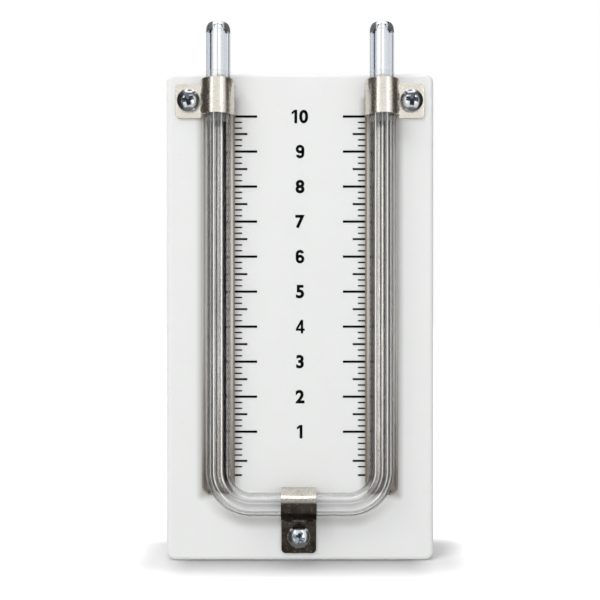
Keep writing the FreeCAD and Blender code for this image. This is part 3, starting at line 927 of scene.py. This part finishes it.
def print_nine(sizes, x, level, turned):
    """The digit 9, or 6 when turned over: a ring, and a stem down its right side that ends in a hook."""
    stroke, reach = 0.8 * MM, 0.83 * MM
    above = (sizes.figure_height - stroke) / 2 - reach
    ring, hook = ((x, PRINT_Y, level + up) for up in (above, -above))
    figure = start(bpy.ops.mesh.primitive_cube_add, "nine", size=1.0, location=(x + reach, *ring[1:]),
                   scale=(stroke, INK, 0.02 * MM))
    pick("FACE", facing_down(2))
    extrude(z=-2 * above)
    spin(162, 16, hook, (0, -1, 0))
    pick("FACE", every(lambda point: point.z > ring[2]))
    spin(360, 32, ring, (0, 1, 0))
    close_mesh()
    if turned:
        bpy.ops.transform.rotate(value=math.pi, orient_axis="Y", center_override=(x, PRINT_Y, level))
    return figure


def print_number(sizes, number):
    """The digits of one number of the scale, beside its line."""
    level = ONE_Z + (number - 1) * UNIT
    if number == 1:
        return [print_one(sizes, 0.3 * MM, level)]
    if number == 4:
        return [print_four(sizes, 0, level)]
    if number in (6, 9):
        return [print_nine(sizes, 0, level, turned=number == 6)]
    if number == 10:
        return [print_one(sizes, -1.2 * MM, level), print_digit(sizes, "0", 1.05 * MM, level)]
    return [print_digit(sizes, str(number), 0, level)]


# Operators, one for each piece or group of like pieces, and one for the studio

class MANOMETER_OT_board(bpy.types.Operator):
    """Finish the white board"""
    bl_idname = "manometer.board"
    bl_label = "Board"

    def execute(self, context):
        sizes, colours = context.scene.manometer_sizes, context.scene.manometer_colours
        board = bpy.data.objects["backboard"]
        board.data.materials.clear()
        board.data.materials.append(board_finish(sizes, colours))
        return {"FINISHED"}


class MANOMETER_OT_print(bpy.types.Operator):
    """Print the marks and the numbers of the scale"""
    bl_idname = "manometer.print"
    bl_label = "Scale print"

    def execute(self, context):
        sizes, colours = context.scene.manometer_sizes, context.scene.manometer_colours
        ink = ink_finish(colours)
        marks = copy_of(bpy.data.objects["scale_graduations"], "scale_marks")
        select_only(marks)
        bpy.ops.object.mode_set(mode="EDIT")
        close_mesh()
        bpy.ops.transform.shrink_fatten(value=sizes.ink_spread, use_even_offset=True)
        finish_piece(marks, ink, "ink", "scale_graduations")
        figures = [figure for number in range(1, 11) for figure in print_number(sizes, number)]
        select_only(*figures)
        bpy.ops.object.transform_apply(location=True, rotation=True, scale=True)
        bpy.ops.object.join()
        numbers = context.object
        name_piece(numbers, "scale_numbers")
        finish_piece(numbers, ink, "ink")
        return {"FINISHED"}


class MANOMETER_OT_glass(bpy.types.Operator):
    """Model the bent glass tube"""
    bl_idname = "manometer.glass"
    bl_label = "Glass tube"

    def execute(self, context):
        make_glass(context.scene.manometer_sizes)
        return {"FINISHED"}


class MANOMETER_OT_sleeves(bpy.types.Operator):
    """Model the two clear sleeves under the upper clips"""
    bl_idname = "manometer.sleeves"
    bl_label = "Sleeves"

    def execute(self, context):
        for piece, solid in both_sides(make_sleeve(), "sleeve", "clip_sleeve"):
            finish_piece(piece, sleeve_finish(), "sleeve", solid, angle=40)
        return {"FINISHED"}


class MANOMETER_OT_troughs(bpy.types.Operator):
    """Model the pressed metal trough behind each limb"""
    bl_idname = "manometer.troughs"
    bl_label = "Troughs"

    def execute(self, context):
        sizes, colours = context.scene.manometer_sizes, context.scene.manometer_colours
        for piece, solid in both_sides(make_trough(sizes), "trough", "backing_trough"):
            finish_piece(piece, trough_finish(colours), "trough", solid, angle=40)
        return {"FINISHED"}


class MANOMETER_OT_clips(bpy.types.Operator):
    """Model the three folded clips"""
    bl_idname = "manometer.clips"
    bl_label = "Clips"

    def execute(self, context):
        sizes, colours = context.scene.manometer_sizes, context.scene.manometer_colours
        low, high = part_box("left_tube_clip")
        tip = 12.2 * MM
        left = make_clip(sizes, "left_clip", 4.2 * MM, FACE_Y - low.y, high.z - low.z, 8.5 * MM, tip)
        right = copy_of(left, "right_clip")
        level = (low.z + high.z) / 2
        stand_clip(left, (-1, 0, 0), (low.x + tip, FACE_Y, level))
        stand_clip(right, (1, 0, 0), (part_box("right_tube_clip")[1].x - tip, FACE_Y, level))
        for piece, solid in ((left, "left_tube_clip"), (right, "right_tube_clip")):
            finish_piece(piece, clip_finish(colours, "bright_clip", 0.0, 0.12), "clip", solid)
        low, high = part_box("bottom_tube_clip")
        tip = 14.3 * MM
        bottom = make_clip(sizes, "bottom_clip", 3.8 * MM, FACE_Y - low.y, high.x - low.x, 9.4 * MM, tip)
        stand_clip(bottom, (0, 0, -1), ((low.x + high.x) / 2, FACE_Y, low.z + tip))
        brown = clip_finish(colours, "brown_clip", 0.0, 0.25, darker_below=low.z + 17 * MM)
        finish_piece(bottom, brown, "clip", "bottom_tube_clip")
        return {"FINISHED"}


class MANOMETER_OT_screws(bpy.types.Operator):
    """Model the screws of the clips"""
    bl_idname = "manometer.screws"
    bl_label = "Screws"

    def execute(self, context):
        sizes, colours = context.scene.manometer_sizes, context.scene.manometer_colours
        first, recess = make_screw(sizes)
        seat = FACE_Y - sizes.clip_sheet
        low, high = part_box("clip_screws")
        reach = high.x - sizes.head_radius
        upper, lower = high.z - sizes.head_radius, low.z + sizes.head_radius
        zinc = screw_finish(colours, "bright_zinc", 1.0)
        # Near-black zinc for the bottom of the cross recess: painted shade.
        recess_shade = screw_finish(colours, "zinc_painted_recess_shade", 0.05)
        # The bottom screw's zinc, with lighter painted shade at the rim of its head.
        less_darkened = screw_finish(colours, "zinc_lighter_rim_shade", 1.0, rim_shade_share=0.8)
        for name, x, z, degrees, finish in (
                ("left_screw", -reach, upper, 16, zinc), ("right_screw", reach, upper, -6, zinc),
                ("bottom_screw", middle("bottom_tube_clip").x, lower, -24, less_darkened)):
            screw = copy_of(first, name)
            turn = Matrix.Rotation(math.radians(90), 4, "X") @ Matrix.Rotation(math.radians(degrees), 4, "Z")
            screw.matrix_world = Matrix.Translation((x, seat, z)) @ turn
            finish_piece(screw, finish, "screw", "clip_screws", angle=32)
            screw.data.materials.append(recess_shade)
            # The faces at the bottom of the recess take the painted shade.
            for index in recess:
                screw.data.polygons[index].material_index = 1
        bpy.data.objects.remove(first, do_unlink=True)
        return {"FINISHED"}


def floor_finish():
    """White floor that lights up to plain white away from the object, for what the camera sees.

    Near the object it keeps the real shadow, made deeper in front of the board by a darker floor.
    """
    material, surface = new_finish("white_floor", Roughness=0.9, Specular_IOR_Level=0.0)
    tree = surface.id_data
    fleck = node(tree, "TexNoise", Vector=node(tree, "TexCoord")["Object"], Scale=900.0, Detail=2.0)["Fac"]
    path = node(tree, "LightPath")
    shown = clamped(path["Is Camera Ray"] + path["Is Transmission Ray"])
    point, board = place(tree), extent("backboard")
    past_sides = abs(point["X"]) - board.x / 2
    past_front, past_back = FACE_Y - point["Y"], point["Y"] - (FACE_Y + board.y)
    squares = []
    for beyond, weight in ((past_sides, 1.25), (past_front, 1.0), (past_back, 2.2)):
        weighed = positive(beyond) * weight
        squares.append(weighed * weighed)
    away = maths("SQRT", squares[0] + squares[1] + squares[2])
    shadow = fill_ramp(away / (20 * MM), ((0.0, 1.0), (0.06, 0.7), (0.2, 0.46), (0.5, 0.2), (1.0, 0.0)))
    aside = ease(past_sides, -8 * MM, 1.5 * MM)
    darker = shadow * (1.0 - aside) * shown
    feed_all(surface, Base_Color=blend(darker, blend(fleck, 0.71, 0.73), 0.36))
    glow = node(tree, "Emission", Strength=shown * (aside * 0.1 + ease(away, 2 * MM, 30 * MM, 0.0, 0.8)))
    both = in_order("AddShader", Signal(surface), glow)
    feed_all(tree.nodes["Material Output"], Surface=both)
    return material


class MANOMETER_OT_studio(bpy.types.Operator):
    """Set up the floor, the lights, the surroundings and the camera"""
    bl_idname = "manometer.studio"
    bl_label = "Studio"

    def execute(self, context):
        context.scene.view_settings.view_transform = "Standard"
        self.lay_floor(context)
        self.hang_lights(context)
        self.surround(context)
        self.place_camera(context)
        return {"FINISHED"}

    def lay_floor(self, context):
        """A large white sheet under the object."""
        select_only()
        bpy.ops.mesh.primitive_plane_add(size=6.0, location=(0, 0, 0))
        floor = context.object
        floor.name = "floor"
        floor.data.materials.append(floor_finish())
        floor.visible_glossy = False

    def hang_lights(self, context):
        """Three large soft lights."""
        target = Vector((0, 0, 0.07))
        for name, spot, width, power in (("key_light", (-0.6, -0.72, 0.92), 0.6, 7.7),
                                         ("fill_light", (0.5, -0.9, 0.12), 0.9, 2.5),
                                         ("top_light", (-0.1, -0.15, 1.1), 1.0, 3.0)):
            bpy.ops.object.light_add(type="AREA", location=spot)
            light = context.object
            light.name = name
            light.data.shape = "SQUARE"
            light.data.size = width
            light.data.energy = power
            light.rotation_euler = (target - Vector(spot)).to_track_quat("-Z", "Y").to_euler()
            light.visible_glossy = False
            light.visible_transmission = False

    def surround(self, context):
        """White to the camera; a bright window and darker room for the metal; even light for the rest."""
        world = context.scene.world or bpy.data.worlds.new("surroundings")
        context.scene.world = world
        world.use_nodes = True
        tree = world.node_tree
        tree.nodes.clear()
        towards = place(tree, "Generated")
        up, steepness = towards["Z"], abs(towards["Z"])
        bearing = maths("ARCTAN2", towards["X"], towards["Y"] * -1.0)
        dark, beige = (0.07, 0.06, 0.05), (0.34, 0.29, 0.23)
        room = ramp_by_angle(bearing, (
            (-135, 1.0), (-118, dark), (-50, dark), (-40, 1.0), (56, 1.0), (64, dark), (108, dark),
            (116, beige), (180, beige)))
        walls = blend(ease(steepness, 0.62, 0.76), room, (0.2, 0.19, 0.18))
        mirrored = blend(within(up, 0.88, 0.99), walls, 1.0)
        banks = (within(bearing, math.radians(-38), math.radians(-33))
                 + within(bearing, math.radians(30), math.radians(35)))
        brighter = banks * within(up, -0.25, 0.7) * 3.0 + within(up, 0.93, 0.97) * 4.0
        metal_sees = node(tree, "Background", Color=mirrored, Strength=brighter + 1.0)
        behind = blend(ease(steepness, 0.5, 0.62), 1.0, (0.05, 0.05, 0.055))
        glass_sees = node(tree, "Background", Color=behind, Strength=1.0)
        seen = node(tree, "Background", Color=1.0, Strength=0.5)
        path = node(tree, "LightPath")
        for ray, light in (("Is Glossy Ray", metal_sees), ("Is Transmission Ray", glass_sees),
                           ("Is Camera Ray", node(tree, "Background", Color=1.0, Strength=1.0))):
            seen = mix_shaders(path[ray], seen, light)
        feed_all(tree.nodes.new("ShaderNodeOutputWorld"), Surface=seen)

    def place_camera(self, context):
        """Straight in front of the board, level, a little below half its height."""
        bpy.ops.object.camera_add(location=CAMERA, rotation=(math.radians(90), 0, 0))
        camera = context.object
        camera.data.sensor_width = 36
        camera.data.lens = 48
        camera.data.shift_y = 10 / 600
        camera.data.clip_start = 0.01
        context.scene.camera = camera


class MANOMETER_PT_panel(bpy.types.Panel):
    """Lists the pieces of the manometer"""
    bl_idname = "MANOMETER_PT_panel"
    bl_label = "U tube manometer"
    bl_space_type = "VIEW_3D"
    bl_region_type = "UI"
    bl_category = "Manometer"

    def draw(self, context):
        layout = self.layout
        for operator in OPERATORS:
            layout.operator(operator.bl_idname)
        for group in (context.scene.manometer_sizes, context.scene.manometer_colours):
            box = layout.box()
            for name in group.__annotations__:
                box.prop(group, name)


OPERATORS = (MANOMETER_OT_board, MANOMETER_OT_print, MANOMETER_OT_glass, MANOMETER_OT_sleeves,
             MANOMETER_OT_troughs, MANOMETER_OT_clips, MANOMETER_OT_screws, MANOMETER_OT_studio)
CLASSES = (ManometerSizes, ManometerColours, *OPERATORS, MANOMETER_PT_panel)


def register():
    for made in CLASSES:
        bpy.utils.register_class(made)
    bpy.types.Scene.manometer_sizes = PointerProperty(type=ManometerSizes)
    bpy.types.Scene.manometer_colours = PointerProperty(type=ManometerColours)


def unregister():
    del bpy.types.Scene.manometer_colours
    del bpy.types.Scene.manometer_sizes
    for made in reversed(CLASSES):
        bpy.utils.unregister_class(made)


def main():
    register()
    steps = bpy.ops.manometer
    for step in (steps.board, steps.print, steps.glass, steps.sleeves, steps.troughs, steps.clips,
                 steps.screws, steps.studio):
        step()


if __name__ == "__main__":
    main()
